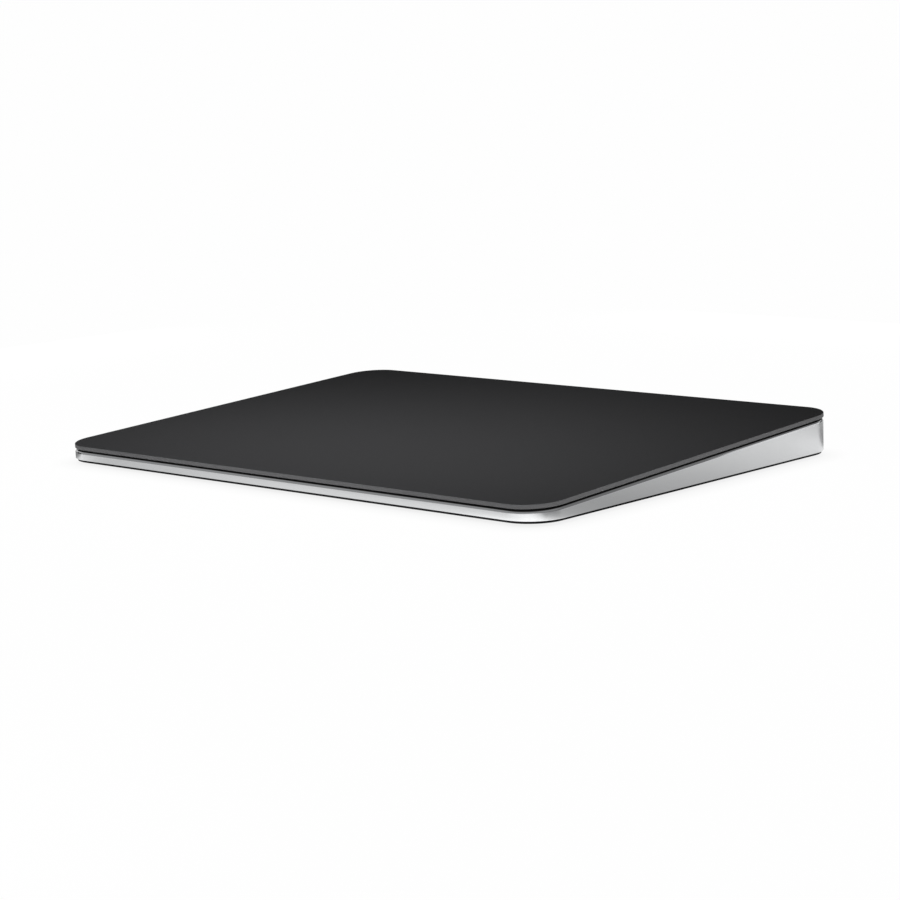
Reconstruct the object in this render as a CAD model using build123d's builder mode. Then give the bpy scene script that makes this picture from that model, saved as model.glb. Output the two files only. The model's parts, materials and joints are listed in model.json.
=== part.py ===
from build123d import *

import os
from math import atan2, cos, sin, tan

# Wireless wedge trackpad: a glass touch plate rides on four leaf flexures inside a
# shallow aluminium housing. Millimetres. +X is the user's right, +Y the rear edge, +Z up.
# The origin is on the desk, under the middle of the footprint.

# Overall size
width = 160.0
depth = 114.9
front_height = 4.9
rear_height = 10.9
corner_radius = 8.8

# Stack under the touch face, each thickness measured square to that face
glass_thickness = 1.02
bond_thickness = 0.10
sensor_board_thickness = 0.50
stiffener_thickness = 0.40
pad_thickness = 0.24
pad_gap = 0.06
leaf_thickness = 0.30
leaf_drop = 0.28
deck_thickness = 0.60

# Stack above the desk
foot_height = 0.65
cover_thickness = 0.62

# Housing walls and rim
glass_overhang = 0.05
wall = 2.0
rim_gap = 0.58
rim_chamfer = 0.32
bottom_round = 0.12
plate_side_gap = 0.5

# How far a cutter runs past the face that it cuts
overrun = 1.0

# Frame of the touch face: its middle is over the origin, and it leans towards the user
middle_height = (front_height + rear_height) / 2
tilt = atan2(rear_height - front_height, depth)
touch_face = Plane(
    origin=(0, 0, middle_height),
    x_dir=(1, 0, 0),
    z_dir=(0, -sin(tilt), cos(tilt)),
)

face_axis = Axis(touch_face.origin, touch_face.z_dir)

# Levels under the touch face
bond_level = glass_thickness
sensor_level = bond_level + bond_thickness
stiffener_level = sensor_level + sensor_board_thickness
pad_level = stiffener_level + stiffener_thickness
leaf_level = pad_level + pad_thickness + pad_gap
deck_level = leaf_level + leaf_thickness + leaf_drop
deck_under_level = deck_level + deck_thickness
deck_middle_level = deck_level + deck_thickness / 2
rim_level = glass_thickness + rim_gap

# Heights over the desk
cover_top = foot_height + cover_thickness
housing_bottom = cover_top

# Plan sizes
housing_width = width - 2 * glass_overhang
housing_depth = depth - 2 * glass_overhang
housing_corner = corner_radius - glass_overhang
room_width = housing_width - 2 * wall
room_depth = housing_depth - 2 * wall
room_corner = housing_corner - wall
plate_width = room_width - 2 * plate_side_gap
plate_depth = room_depth - 2 * plate_side_gap
plate_corner = room_corner - plate_side_gap
rear_face = housing_depth / 2
rear_room_face = room_depth / 2

corners = {
    "front_left": (-1, -1),
    "front_right": (1, -1),
    "rear_left": (-1, 1),
    "rear_right": (1, 1),
}


def under_face(level):
    """The plane parallel to the touch face, at a depth below it."""
    return touch_face.offset(-level)


def height_at(y, level):
    """Height over the desk, at a place y, of the plane at a depth below the touch face."""
    return middle_height + y * tan(tilt) - level / cos(tilt)


def side_point(y, level):
    """Upright (y, z) of a point given by its place along the touch face and its depth below it."""
    return (
        y * cos(tilt) + level * sin(tilt),
        middle_height + y * sin(tilt) - level * cos(tilt),
    )


def rear_plane(y):
    """An upright plane across the object at a place y. It extrudes towards the user."""
    return Plane.XZ.offset(-y)


def save(piece, name):
    """Labels a finished piece and writes it as its own file."""
    piece.part.label = name
    export_step(piece.part, f"parts/{name}.step")


def upright_slab(outline_width, outline_depth, outline_corner, lower_level, upper_level):
    """An upright block that is cut off between two planes parallel to the touch face."""
    with BuildPart() as slab:
        with BuildSketch():
            RectangleRounded(outline_width, outline_depth, outline_corner)
        extrude(amount=rear_height)
        split(bisect_by=under_face(upper_level), keep=Keep.BOTTOM)
        split(bisect_by=under_face(lower_level), keep=Keep.TOP)
    return slab.part


os.makedirs("parts", exist_ok=True)


# Feet: four rubber pills in shallow recesses of the cover

foot_length = 16.0
foot_width = 6.0
foot_recess = 0.25
foot_recess_gap = 0.1
foot_round = 0.15
foot_inset_x = 17.0
foot_inset_y = 11.0


def foot_spot(side, end):
    """Centre of one foot on the desk."""
    return (side * (width / 2 - foot_inset_x), end * (depth / 2 - foot_inset_y))


for corner, (side, end) in corners.items():
    with BuildPart() as foot:
        with BuildSketch():
            with Locations(foot_spot(side, end)):
                SlotOverall(foot_length, foot_width)
        extrude(amount=foot_height + foot_recess)
        fillet(foot.faces().sort_by(Axis.Z)[0].edges(), radius=foot_round)
    save(foot, f"foot_{corner}")


# Bottom cover: a moulded plate, a little smaller than the housing, bonded under its walls

cover_inset = 0.5
cover_round = 0.18
cover_width = housing_width - 2 * cover_inset
cover_depth = housing_depth - 2 * cover_inset
cover_corner = housing_corner - cover_inset

with BuildPart() as bottom_cover:
    with BuildSketch(Plane.XY.offset(foot_height)):
        RectangleRounded(cover_width, cover_depth, cover_corner)
    extrude(amount=cover_thickness)
    fillet(bottom_cover.faces().sort_by(Axis.Z)[0].edges(), radius=cover_round)
    with BuildSketch(Plane.XY.offset(foot_height)):
        for side, end in corners.values():
            with Locations(foot_spot(side, end)):
                SlotOverall(foot_length + 2 * foot_recess_gap, foot_width + 2 * foot_recess_gap)
    extrude(amount=foot_recess, mode=Mode.SUBTRACT)
save(bottom_cover, "bottom_cover")

cover_bond_inset = 0.25
cover_bond_width = 0.7
cover_bond_thickness = 0.12

with BuildPart() as cover_bond:
    with BuildSketch(Plane.XY.offset(housing_bottom)):
        RectangleRounded(
            cover_width - 2 * cover_bond_inset,
            cover_depth - 2 * cover_bond_inset,
            cover_corner - cover_bond_inset,
        )
        RectangleRounded(
            cover_width - 2 * (cover_bond_inset + cover_bond_width),
            cover_depth - 2 * (cover_bond_inset + cover_bond_width),
            cover_corner - cover_bond_inset - cover_bond_width,
            mode=Mode.SUBTRACT,
        )
    extrude(amount=cover_bond_thickness)
save(cover_bond, "cover_bond")


# Places on the force flexures. A steel base is screwed to the deck, and its leaf reaches
# inwards to a gel pad. A bent leaf turns about a line near its clamp, so the arm starts there.

base_inset_x = 11.0
base_inset_y = 11.0
base_length = 9.0
base_width = 9.0
neck_length = 2.0
neck_gap = 0.1
arm_width = 6.0
arm_lever = 11.5
pad_length = 5.0
pad_width = 5.0
arm_tip = 0.5
arm_tip_radius = 1.5
arm_pocket_depth = 0.2
arm_pocket_margin = 0.5
base_screw_pitch = 5.2

base_height = leaf_thickness + leaf_drop
pivot_inward = base_length / 2 + neck_length
pad_inward = pivot_inward + arm_lever
arm_end_inward = pad_inward + pad_length / 2 + arm_tip


def flexure_spot(side, end, inward):
    """Place in a plane under the touch face, a distance inwards from a flexure base's centre."""
    return (
        side * (plate_width / 2 - base_inset_x - inward),
        end * (plate_depth / 2 - base_inset_y),
    )


# Screws, in the three sizes that the parts below share

flexure_screw_diameter = 1.2
flexure_head_diameter = 2.2
flexure_head_height = 0.3
flexure_boss_depth = 0.5
flexure_boss_radius = 1.7
small_screw_diameter = 1.0
small_head_diameter = 2.0
small_head_height = 0.4
screw_recess_share = 0.45
screw_hole_gap = 0.05


# Places of the logic board, which lies level over the cover along the rear wall

board_floor_gap = 1.03
board_thickness = 0.8
board_depth = 11.6
board_rear_gap = 0.4
board_left = -44.0
board_right = 62.0
board_corner = 1.0
board_boss_radius = 1.5
board_screw_depth = 2.0

board_bottom = cover_top + board_floor_gap
board_top = board_bottom + board_thickness
board_rear = rear_room_face - board_rear_gap
board_front = board_rear - board_depth
board_middle = board_rear - board_depth / 2

# Board screws, inside the ends of the board and beside the port
board_screw_end_inset = 2.5
board_screw_inner_x = 12.5
board_screw_offset_y = 1.6
board_screw_spots = [
    (board_left + board_screw_end_inset, board_middle),
    (-board_screw_inner_x, board_middle - board_screw_offset_y),
    (board_screw_inner_x, board_middle - board_screw_offset_y),
    (board_right - board_screw_end_inset, board_middle - board_screw_offset_y),
]

# Charging port
port_x = 0.0
port_mouth_width = 8.34
port_mouth_height = 2.56
port_shell_wall = 0.3
port_depth = 7.3
port_recess = 0.3
port_gap = 0.12
port_chamfer = 0.2

port_width = port_mouth_width + 2 * port_shell_wall
port_height = port_mouth_height + 2 * port_shell_wall
port_z = board_top + port_height / 2
port_mouth_y = rear_face - port_recess
port_back_y = port_mouth_y - port_depth

# Power switch
switch_x = 52.0
switch_travel = 2.5
knob_length = 4.2
knob_height = 1.9
knob_gap = 0.15
knob_recess = 0.1
switch_slot_chamfer = 0.15

switch_z = port_z
switch_slot_length = knob_length + switch_travel + 2 * knob_gap
switch_slot_height = knob_height + 2 * knob_gap
knob_x = switch_x - switch_travel / 2

# Sockets on the board, in a row behind its front edge, and the slots over two of them
socket_inset = 1.7
socket_width = 2.4
socket_height = 0.8
socket_margin = 1.0
ribbon_thickness = 0.12
ribbon_bend = 0.8
ribbon_slot_gap = 0.7
touch_socket_x = -28.0
touch_ribbon_width = 9.0
gauge_socket_x = -38.0
gauge_ribbon_width = 3.0
haptic_socket_x = 0.0
haptic_ribbon_width = 3.0
battery_socket_x = 40.0
battery_ribbon_width = 4.0

socket_y = board_front + socket_inset
sockets = {
    gauge_socket_x: gauge_ribbon_width,
    touch_socket_x: touch_ribbon_width,
    haptic_socket_x: haptic_ribbon_width,
    battery_socket_x: battery_ribbon_width,
}

# Haptic engine: it hangs in a folded bracket under a window near the middle of the deck
haptic_y = -6.0
armature_width = 10.0
armature_thickness = 0.8
pole_gap = 0.35
core_length = 44.0
core_width = 8.0
tooth_count = 3
tooth_length = 6.0
yoke_share = 0.45
coil_thickness = 2.0
coil_gap = 0.1
bracket_thickness = 0.4
bracket_end_gap = 2.0
bracket_side_gap = 1.0
bracket_flange = 5.0
bracket_floor_gap = 0.35
window_margin = 0.4

armature_length = core_length
bracket_width = core_width + 2 * (coil_gap + coil_thickness) + 2 * bracket_side_gap
bracket_front = haptic_y - bracket_width / 2
bracket_under_level = (height_at(bracket_front, 0) - cover_top - bracket_floor_gap) * cos(tilt)
bracket_level = bracket_under_level - bracket_thickness
pole_level = pad_level + armature_thickness + pole_gap
core_height = bracket_level - pole_level
yoke_height = yoke_share * core_height
tooth_height = core_height - yoke_height
tooth_pitch = (core_length - tooth_length) / (tooth_count - 1) - coil_thickness
bracket_inner_length = core_length + 2 * bracket_end_gap
bracket_outer_length = bracket_inner_length + 2 * bracket_thickness
window_length = bracket_inner_length - 2 * window_margin
window_width = bracket_width + 2 * window_margin
haptic_screw_x = bracket_outer_length / 2 + bracket_flange / 2
haptic_screw_pitch = bracket_width / 2

# Battery: two flat cells under the deck fill the room between the haptic engine and the
# logic board, and are as thick as the wedge allows at their front edge
cell_width = 60.0
cell_corner = 1.5
cell_floor_gap = 0.3
cell_front_gap = 3.4
channel_width = 6.0
tape_thickness = 0.15
tape_inset = 3.0
battery_board_depth = 2.0
battery_board_thickness = 0.8
battery_board_left = -40.0
battery_board_right = 45.0
battery_board_drop = 0.35
battery_board_rear_gap = 0.9

cell_rear = board_front - battery_board_rear_gap - battery_board_depth
cell_front = haptic_y + bracket_width / 2 + cell_front_gap
cell_depth = cell_rear - cell_front
cell_middle = (cell_front + cell_rear) / 2
cell_x = (channel_width + cell_width) / 2
cell_level = deck_under_level + tape_thickness
cell_under_level = (height_at(cell_front, 0) - cover_top - cell_floor_gap) * cos(tilt)
battery_board_level = cell_level + battery_board_drop


# Housing: one machined aluminium piece with a deck parallel to the touch face. The room
# under the deck stops short of the front edge, where the housing is too thin to be hollow.

front_land = 17.5
rib_thickness = 1.0
side_rib_gap = 3.0
side_rib_inset = 1.0
front_rib_pitch = 52.0
front_rib_count = 3
front_rib_length = 20.0
gasket_seat = 0.76

lower_room_depth = room_depth - front_land
lower_room_y = front_land / 2
lower_room_front = lower_room_y - lower_room_depth / 2
side_rib_x = cell_x + cell_width / 2 + side_rib_gap + rib_thickness / 2

with BuildPart() as lower_room:
    with BuildSketch():
        with Locations((0, lower_room_y)):
            RectangleRounded(room_width, lower_room_depth, room_corner)
    extrude(amount=rear_height)
    split(bisect_by=under_face(deck_under_level), keep=Keep.BOTTOM)

# Ribs under the deck hold the cover flat
with BuildPart() as ribs:
    with BuildSketch(Plane.XY.offset(housing_bottom)):
        with Locations((0, cell_middle)):
            with GridLocations(2 * side_rib_x, 0, 2, 1):
                Rectangle(rib_thickness, cell_depth - 2 * side_rib_inset)
        with Locations((0, lower_room_front + front_rib_length / 2 - rib_thickness)):
            with GridLocations(front_rib_pitch, 0, front_rib_count, 1):
                Rectangle(rib_thickness, front_rib_length)
    extrude(amount=rear_height)
    split(bisect_by=under_face(deck_middle_level), keep=Keep.BOTTOM)

upper_room = upright_slab(room_width, room_depth, room_corner, deck_level, -overrun)

with BuildPart() as housing:
    with BuildSketch(Plane.XY.offset(housing_bottom)):
        RectangleRounded(housing_width, housing_depth, housing_corner)
    extrude(amount=rear_height)
    split(bisect_by=under_face(rim_level), keep=Keep.BOTTOM)
    chamfer(housing.faces().sort_by(Axis.Z)[-1].edges(), length=rim_chamfer)
    fillet(housing.faces().sort_by(Axis.Z)[0].edges(), radius=bottom_round)
    add(upper_room, mode=Mode.SUBTRACT)
    add(lower_room.part, mode=Mode.SUBTRACT)
    add(ribs.part)
    # Bosses for the flexure screws and for the board screws
    with BuildSketch(under_face(deck_middle_level)):
        for side, end in corners.values():
            with Locations(flexure_spot(side, end, 0)):
                with GridLocations(0, base_screw_pitch, 1, 2):
                    Circle(flexure_boss_radius)
    extrude(amount=-(deck_thickness / 2 + flexure_boss_depth))
    for x, y in board_screw_spots:
        with BuildSketch(Plane.XY.offset(board_top)):
            with Locations((x, y)):
                Circle(board_boss_radius)
        extrude(amount=height_at(y, deck_middle_level) - board_top)
    # Threaded holes
    with BuildSketch(under_face(deck_level)):
        for side, end in corners.values():
            with Locations(flexure_spot(side, end, 0)):
                with GridLocations(0, base_screw_pitch, 1, 2):
                    Circle(flexure_screw_diameter / 2 + screw_hole_gap)
    extrude(amount=-(deck_thickness + flexure_boss_depth), mode=Mode.SUBTRACT)
    with BuildSketch(Plane.XY.offset(board_top)):
        with Locations(*board_screw_spots):
            Circle(small_screw_diameter / 2 + screw_hole_gap)
    extrude(amount=board_screw_depth, mode=Mode.SUBTRACT)
    # Shallow pockets under the flexure arms
    with BuildSketch(under_face(deck_level)):
        for side, end in corners.values():
            with Locations(flexure_spot(side, end, (pivot_inward + arm_end_inward) / 2)):
                Rectangle(
                    arm_end_inward - pivot_inward + 2 * arm_pocket_margin,
                    arm_width + 2 * arm_pocket_margin,
                )
    extrude(amount=-arm_pocket_depth, mode=Mode.SUBTRACT)
    # Window over the haptic engine, its screw holes, and slots for two ribbons
    with BuildSketch(under_face(deck_level)):
        with Locations((0, haptic_y)):
            RectangleRounded(window_length, window_width, window_margin)
            with GridLocations(2 * haptic_screw_x, haptic_screw_pitch, 2, 2):
                Circle(small_screw_diameter / 2 + screw_hole_gap)
        for x in (touch_socket_x, gauge_socket_x):
            with Locations((x, socket_y)):
                Rectangle(
                    sockets[x] + 2 * ribbon_slot_gap,
                    2 * (ribbon_bend + ribbon_slot_gap),
                )
    extrude(amount=-(deck_thickness + overrun), mode=Mode.SUBTRACT)
    # Openings in the rear wall, with broken edges
    with BuildSketch(rear_plane(rear_face + overrun)):
        with Locations((port_x, port_z)):
            SlotOverall(port_width + 2 * port_gap, port_height + 2 * port_gap)
        with Locations((switch_x, switch_z)):
            SlotOverall(switch_slot_length, switch_slot_height)
    extrude(amount=overrun + wall + plate_side_gap, mode=Mode.SUBTRACT)
    with BuildSketch(rear_plane(rear_face)):
        with Locations((port_x, port_z)):
            SlotOverall(
                port_width + 2 * (port_gap + port_chamfer),
                port_height + 2 * (port_gap + port_chamfer),
            )
    extrude(amount=port_chamfer, taper=45, mode=Mode.SUBTRACT)
    with BuildSketch(rear_plane(rear_face)):
        with Locations((switch_x, switch_z)):
            SlotOverall(
                switch_slot_length + 2 * switch_slot_chamfer,
                switch_slot_height + 2 * switch_slot_chamfer,
            )
    extrude(amount=switch_slot_chamfer, taper=45, mode=Mode.SUBTRACT)
    # Groove for the cover's bond
    add(cover_bond.part, mode=Mode.SUBTRACT)
save(housing, "housing")


# Dust gasket: a soft black ring on the rim, just clear of the glass

gasket_width = 0.8
gasket_height = 0.28

gasket_outer = upright_slab(
    housing_width - 2 * gasket_seat,
    housing_depth - 2 * gasket_seat,
    housing_corner - gasket_seat,
    rim_level,
    rim_level - gasket_height,
)
gasket_inner = upright_slab(
    housing_width - 2 * (gasket_seat + gasket_width),
    housing_depth - 2 * (gasket_seat + gasket_width),
    housing_corner - gasket_seat - gasket_width,
    rim_level + overrun,
    rim_level - overrun,
)

with BuildPart() as dust_gasket:
    add(gasket_outer)
    add(gasket_inner, mode=Mode.SUBTRACT)
save(dust_gasket, "dust_gasket")


# Touch plate: glass, bond, sensor board and stiffener

glass_top_round = 0.16
glass_bottom_round = 0.08
bond_inset = 0.6
base_window_margin = 0.6
touch_chip_x = -32.0
touch_chip_y = 14.0
touch_chip_size = 9.0
touch_chip_height = 0.8
chip_margin = 1.0
touch_plug_length = 10.0
touch_plug_width = 2.6
touch_plug_height = 0.9
touch_plug_rearward = 3.6

touch_plug_y = socket_y + touch_plug_rearward


def plate_sketch(inset):
    """Outline of a sheet of the touch plate, drawn in the tilted plane."""
    RectangleRounded(
        plate_width - 2 * inset,
        (plate_depth - 2 * inset) / cos(tilt),
        plate_corner - inset,
    )


with BuildPart() as touch_glass:
    with BuildSketch(under_face(glass_thickness)):
        RectangleRounded(width, depth / cos(tilt), corner_radius)
    extrude(amount=glass_thickness)
    fillet(touch_glass.faces().sort_by(face_axis)[-1].edges(), radius=glass_top_round)
    fillet(touch_glass.faces().sort_by(face_axis)[0].edges(), radius=glass_bottom_round)
save(touch_glass, "touch_glass")

with BuildPart() as glass_bond:
    with BuildSketch(under_face(sensor_level)):
        plate_sketch(bond_inset)
    extrude(amount=bond_thickness)
save(glass_bond, "glass_bond")

with BuildPart() as sensor_board:
    with BuildSketch(under_face(stiffener_level)):
        plate_sketch(0)
    extrude(amount=sensor_board_thickness)
save(sensor_board, "sensor_board")

# The stiffener has windows over the flexure bases, the touch chip and the touch plug
with BuildPart() as stiffener_plate:
    with BuildSketch(under_face(pad_level)):
        plate_sketch(0)
        for side, end in corners.values():
            with Locations(flexure_spot(side, end, 0)):
                RectangleRounded(
                    base_length + 2 * base_window_margin,
                    base_width + 2 * base_window_margin,
                    base_window_margin,
                    mode=Mode.SUBTRACT,
                )
        with Locations((touch_chip_x, touch_chip_y)):
            RectangleRounded(
                touch_chip_size + 2 * chip_margin,
                touch_chip_size + 2 * chip_margin,
                chip_margin,
                mode=Mode.SUBTRACT,
            )
        with Locations((touch_socket_x, touch_plug_y)):
            RectangleRounded(
                touch_plug_length + 2 * chip_margin,
                touch_plug_width + 2 * chip_margin,
                chip_margin,
                mode=Mode.SUBTRACT,
            )
    extrude(amount=stiffener_thickness)
save(stiffener_plate, "stiffener_plate")

with BuildPart() as touch_chip:
    with BuildSketch(under_face(stiffener_level)):
        with Locations((touch_chip_x, touch_chip_y)):
            Rectangle(touch_chip_size, touch_chip_size)
    extrude(amount=-touch_chip_height)
save(touch_chip, "touch_chip")

with BuildPart() as touch_plug:
    with BuildSketch(under_face(stiffener_level)):
        with Locations((touch_socket_x, touch_plug_y)):
            Rectangle(touch_plug_length, touch_plug_width)
    extrude(amount=-touch_plug_height)
save(touch_plug, "touch_plug")

with BuildPart() as haptic_armature:
    with BuildSketch(under_face(pad_level)):
        with Locations((0, haptic_y)):
            Rectangle(armature_length, armature_width)
    extrude(amount=-armature_thickness)
save(haptic_armature, "haptic_armature")


# Force flexures: base, arm, gauge and gel pad at each corner

gauge_length = 2.4
gauge_width = 3.6
gauge_thickness = 0.08
gauge_offset = 0.4

for corner, (side, end) in corners.items():
    with BuildPart() as flexure_base:
        with BuildSketch(under_face(deck_level)):
            with Locations(flexure_spot(side, end, 0)):
                Rectangle(base_length, base_width)
                with GridLocations(0, base_screw_pitch, 1, 2):
                    Circle(flexure_screw_diameter / 2 + screw_hole_gap, mode=Mode.SUBTRACT)
        extrude(amount=base_height)
        neck_middle = (base_length + neck_length - neck_gap / 2) / 2
        with BuildSketch(under_face(leaf_level)):
            with Locations(flexure_spot(side, end, neck_middle)):
                Rectangle(neck_length - neck_gap / 2, arm_width)
        extrude(amount=-leaf_thickness)
    save(flexure_base, f"flexure_base_{corner}")

    with BuildPart() as flexure_arm:
        arm_start_inward = pivot_inward + neck_gap / 2
        with BuildSketch(under_face(leaf_level)):
            with Locations(flexure_spot(side, end, (arm_start_inward + arm_end_inward) / 2)):
                Rectangle(arm_end_inward - arm_start_inward, arm_width)
        extrude(amount=-leaf_thickness)
        upright_edges = flexure_arm.edges().filter_by(face_axis)
        fillet(upright_edges.group_by(Axis.X)[0 if side > 0 else -1], radius=arm_tip_radius)
    save(flexure_arm, f"flexure_arm_{corner}")

    with BuildPart() as strain_gauge:
        gauge_inward = pivot_inward + gauge_offset + gauge_length / 2
        with BuildSketch(under_face(leaf_level + leaf_thickness)):
            with Locations(flexure_spot(side, end, gauge_inward)):
                Rectangle(gauge_length, gauge_width)
        extrude(amount=-gauge_thickness)
    save(strain_gauge, f"strain_gauge_{corner}")

    with BuildPart() as gel_pad:
        with BuildSketch(under_face(pad_level)):
            with Locations(flexure_spot(side, end, pad_inward)):
                Rectangle(pad_length, pad_width)
        extrude(amount=-pad_thickness)
    save(gel_pad, f"gel_pad_{corner}")

with BuildPart() as flexure_screws:
    for side, end in corners.values():
        with BuildSketch(under_face(leaf_level)):
            with Locations(flexure_spot(side, end, 0)):
                with GridLocations(0, base_screw_pitch, 1, 2):
                    Circle(flexure_head_diameter / 2)
        extrude(amount=flexure_head_height)
        with BuildSketch(under_face(leaf_level)):
            with Locations(flexure_spot(side, end, 0)):
                with GridLocations(0, base_screw_pitch, 1, 2):
                    Circle(flexure_screw_diameter / 2)
        extrude(amount=-(base_height + deck_thickness + flexure_boss_depth))
        with BuildSketch(under_face(leaf_level - flexure_head_height)):
            with Locations(flexure_spot(side, end, 0)):
                with GridLocations(0, base_screw_pitch, 1, 2):
                    RegularPolygon(screw_recess_share * flexure_head_diameter / 2, 6)
        extrude(amount=-flexure_head_height / 2, mode=Mode.SUBTRACT)
save(flexure_screws, "flexure_screws")


# Haptic engine: toothed core, a coil on each tooth, and the bracket that holds them

with BuildPart() as haptic_core:
    with BuildSketch(under_face(bracket_level)):
        with Locations((0, haptic_y)):
            Rectangle(core_length, core_width)
    extrude(amount=yoke_height)
    with BuildSketch(under_face(bracket_level - yoke_height)):
        with Locations((0, haptic_y)):
            with GridLocations(tooth_pitch, 0, tooth_count, 1):
                Rectangle(tooth_length, core_width)
    extrude(amount=tooth_height)
save(haptic_core, "haptic_core")

with BuildPart() as haptic_coils:
    with BuildSketch(under_face(bracket_level - yoke_height - coil_gap)):
        with Locations((0, haptic_y)):
            with GridLocations(tooth_pitch, 0, tooth_count, 1):
                RectangleRounded(
                    tooth_length + 2 * (coil_gap + coil_thickness),
                    core_width + 2 * (coil_gap + coil_thickness),
                    coil_thickness,
                )
                Rectangle(
                    tooth_length + 2 * coil_gap,
                    core_width + 2 * coil_gap,
                    mode=Mode.SUBTRACT,
                )
    extrude(amount=tooth_height - 2 * coil_gap)
save(haptic_coils, "haptic_coils")

# The bracket is a strip folded into a hat: two flanges under the deck and a tray between them
with BuildPart() as haptic_bracket:
    with BuildSketch(under_face(bracket_under_level)):
        with Locations((0, haptic_y)):
            Rectangle(bracket_outer_length, bracket_width)
    extrude(amount=bracket_under_level - deck_under_level)
    with BuildSketch(under_face(deck_under_level + bracket_thickness)):
        with Locations((0, haptic_y)):
            Rectangle(bracket_outer_length + 2 * bracket_flange, bracket_width)
    extrude(amount=bracket_thickness)
    with BuildSketch(under_face(bracket_level)):
        with Locations((0, haptic_y)):
            Rectangle(bracket_inner_length, bracket_width)
    extrude(amount=bracket_level - deck_under_level, mode=Mode.SUBTRACT)
    with BuildSketch(under_face(deck_under_level)):
        with Locations((0, haptic_y)):
            with GridLocations(2 * haptic_screw_x, haptic_screw_pitch, 2, 2):
                Circle(small_screw_diameter / 2 + screw_hole_gap)
    extrude(amount=-bracket_thickness, mode=Mode.SUBTRACT)
save(haptic_bracket, "haptic_bracket")

with BuildPart() as haptic_screws:
    with BuildSketch(under_face(deck_under_level + bracket_thickness)):
        with Locations((0, haptic_y)):
            with GridLocations(2 * haptic_screw_x, haptic_screw_pitch, 2, 2):
                Circle(small_screw_diameter / 2)
    extrude(amount=bracket_thickness + deck_thickness)
    with BuildSketch(under_face(deck_under_level + bracket_thickness)):
        with Locations((0, haptic_y)):
            with GridLocations(2 * haptic_screw_x, haptic_screw_pitch, 2, 2):
                Circle(small_head_diameter / 2)
                RegularPolygon(
                    screw_recess_share * small_head_diameter / 2, 6, mode=Mode.SUBTRACT
                )
    extrude(amount=-small_head_height)
save(haptic_screws, "haptic_screws")


# Battery: two cells taped under the deck, with their protection board behind them

for name, side in (("left", -1), ("right", 1)):
    with BuildPart() as battery_cell:
        with BuildSketch(under_face(cell_level)):
            with Locations((side * cell_x, cell_middle)):
                RectangleRounded(cell_width, cell_depth, cell_corner)
        extrude(amount=cell_level - cell_under_level)
    save(battery_cell, f"battery_cell_{name}")

with BuildPart() as battery_tape:
    with BuildSketch(under_face(cell_level)):
        with Locations((0, cell_middle)):
            with GridLocations(2 * cell_x, 0, 2, 1):
                Rectangle(cell_width - 2 * tape_inset, cell_depth - 2 * tape_inset)
    extrude(amount=tape_thickness)
save(battery_tape, "battery_tape")

with BuildPart() as battery_board:
    with BuildSketch(under_face(battery_board_level)):
        with Locations(
            ((battery_board_left + battery_board_right) / 2, cell_rear + battery_board_depth / 2)
        ):
            Rectangle(battery_board_right - battery_board_left, battery_board_depth)
    extrude(amount=-battery_board_thickness)
save(battery_board, "battery_board")


# Logic board, level over the cover, with its chips, sockets, port and switch

chip_height = 0.9
processor_size = 7.0
processor_x = -19.0
charge_chip_size = 4.0
charge_chip_x = 17.5
force_chip_size = 5.0
force_chip_x = -34.0
shield_length = 14.0
shield_depth = 8.0
shield_height = 1.5
shield_x = 29.5
antenna_length = 7.0
antenna_depth = 2.0
antenna_height = 1.2
antenna_x = 42.0

with BuildPart() as logic_board:
    with BuildSketch(Plane.XY.offset(board_bottom)):
        with Locations(((board_left + board_right) / 2, board_middle)):
            RectangleRounded(board_right - board_left, board_depth, board_corner)
        with Locations(*board_screw_spots):
            Circle(small_screw_diameter / 2 + screw_hole_gap, mode=Mode.SUBTRACT)
    extrude(amount=board_thickness)
save(logic_board, "logic_board")

with BuildPart() as board_screws:
    with BuildSketch(Plane.XY.offset(board_bottom)):
        with Locations(*board_screw_spots):
            Circle(small_screw_diameter / 2)
    extrude(amount=board_thickness + board_screw_depth)
    with BuildSketch(Plane.XY.offset(board_bottom)):
        with Locations(*board_screw_spots):
            Circle(small_head_diameter / 2)
            RegularPolygon(screw_recess_share * small_head_diameter / 2, 6, mode=Mode.SUBTRACT)
    extrude(amount=-small_head_height)
save(board_screws, "board_screws")


def board_chip(name, x, y, length, chip_depth, height):
    """One closed package that stands on the logic board."""
    with BuildPart() as chip:
        with BuildSketch(Plane.XY.offset(board_top)):
            with Locations((x, y)):
                Rectangle(length, chip_depth)
        extrude(amount=height)
    save(chip, name)


chip_row = board_middle + socket_inset / 2
board_chip("main_processor", processor_x, chip_row, processor_size, processor_size, chip_height)
board_chip("charge_chip", charge_chip_x, chip_row, charge_chip_size, charge_chip_size, chip_height)
board_chip("force_chip", force_chip_x, chip_row, force_chip_size, force_chip_size, chip_height)
board_chip("radio_shield", shield_x, chip_row, shield_length, shield_depth, shield_height)
board_chip("antenna", antenna_x, chip_row, antenna_length, antenna_depth, antenna_height)

with BuildPart() as ribbon_sockets:
    for x, ribbon_width in sockets.items():
        with BuildSketch(Plane.XY.offset(board_top)):
            with Locations((x, socket_y)):
                Rectangle(ribbon_width + 2 * socket_margin, socket_width)
        extrude(amount=socket_height)
save(ribbon_sockets, "ribbon_sockets")


# Ribbon cables, each bent once and plugged into its socket from above

socket_top = board_top + socket_height


def ribbon(x, ribbon_width, start):
    """A flat cable that leaves its start along the touch face and turns down to its socket."""
    corner = (socket_y, start[1] + (socket_y - start[0]) * tan(tilt))
    with BuildPart() as strip:
        with BuildLine(Plane.YZ.offset(x)) as path:
            FilletPolyline(start, corner, (socket_y, socket_top), radius=ribbon_bend)
        with BuildSketch(Plane(origin=path.line @ 0, x_dir=(1, 0, 0), z_dir=path.line % 0)):
            Rectangle(ribbon_width, ribbon_thickness)
        sweep()
    return strip


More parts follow.
